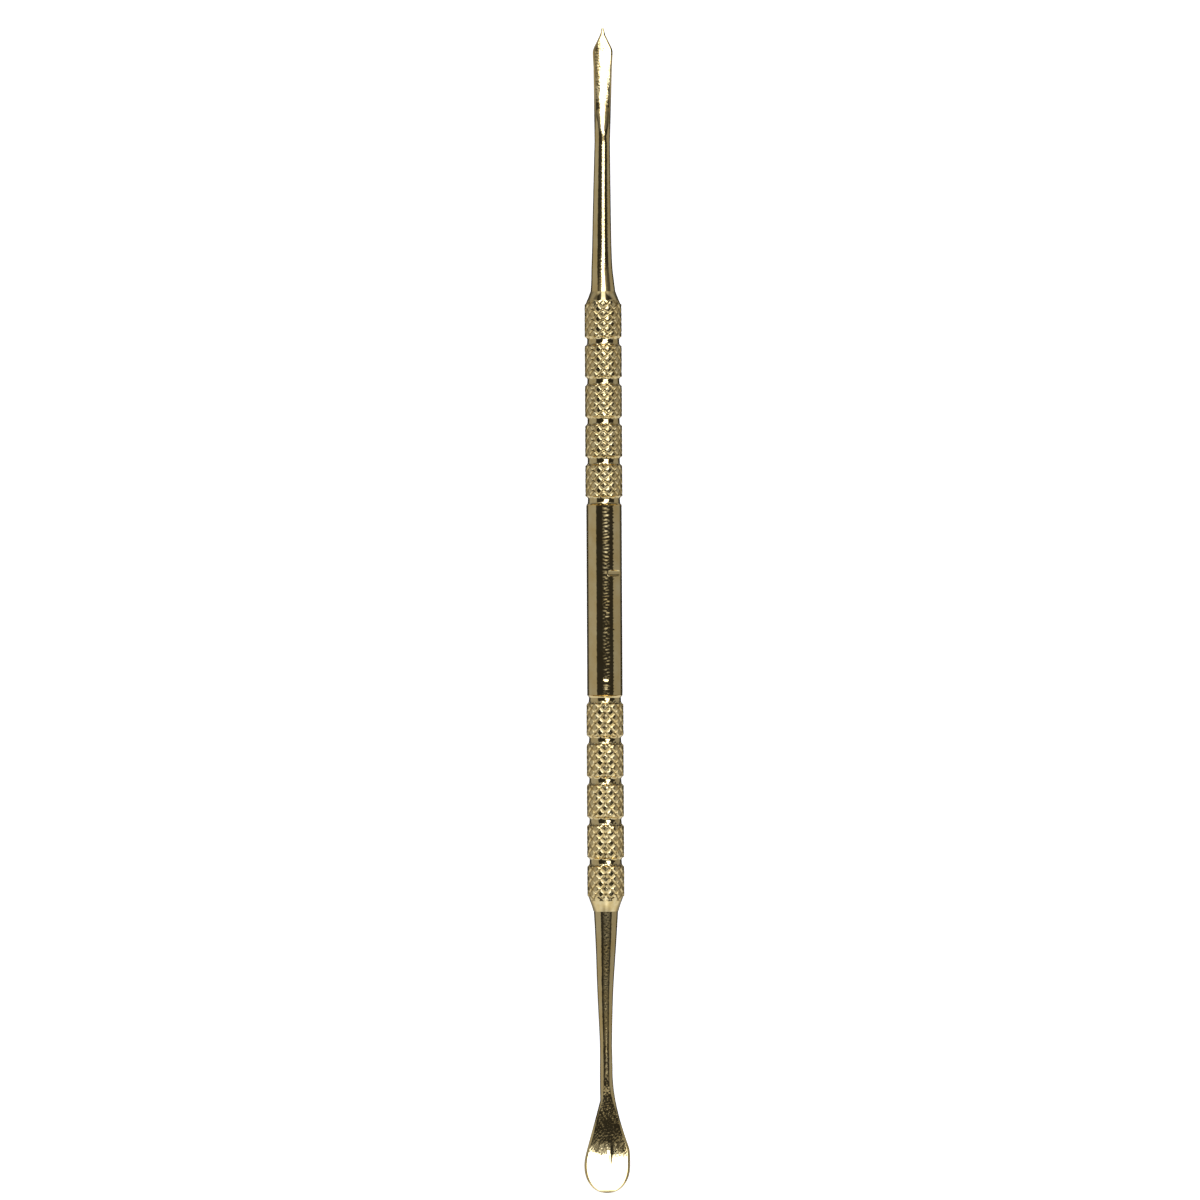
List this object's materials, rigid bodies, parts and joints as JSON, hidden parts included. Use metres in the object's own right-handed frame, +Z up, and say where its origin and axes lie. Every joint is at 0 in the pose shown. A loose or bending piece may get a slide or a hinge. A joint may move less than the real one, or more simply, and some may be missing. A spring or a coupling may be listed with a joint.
{
  "type": "cuticle pusher",
  "caption": "Slim gold-plated double-ended cuticle pusher: a spear blade and an upturned spoon on a round handle with knurled grips and a smooth middle.",
  "frame": {"origin": "on the surface the tool lies on, below the middle of its length and width", "axes": "+Y runs along the tool towards the spear, +X across it, +Z up out of the working faces"},
  "size_m": [0.005, 0.125, 0.004],
  "materials": {
    "gold_polished": "polished",
    "gold_knurled": "polished",
    "gold_worn": "satin"
  },
  "bodies": {
    "root": {"spear_tip": "gold_polished", "spear_grip": "gold_knurled", "centre_barrel": "gold_worn", "spoon_grip": "gold_knurled", "spoon_tip": "gold_polished"}
  },
  "joints": []
}
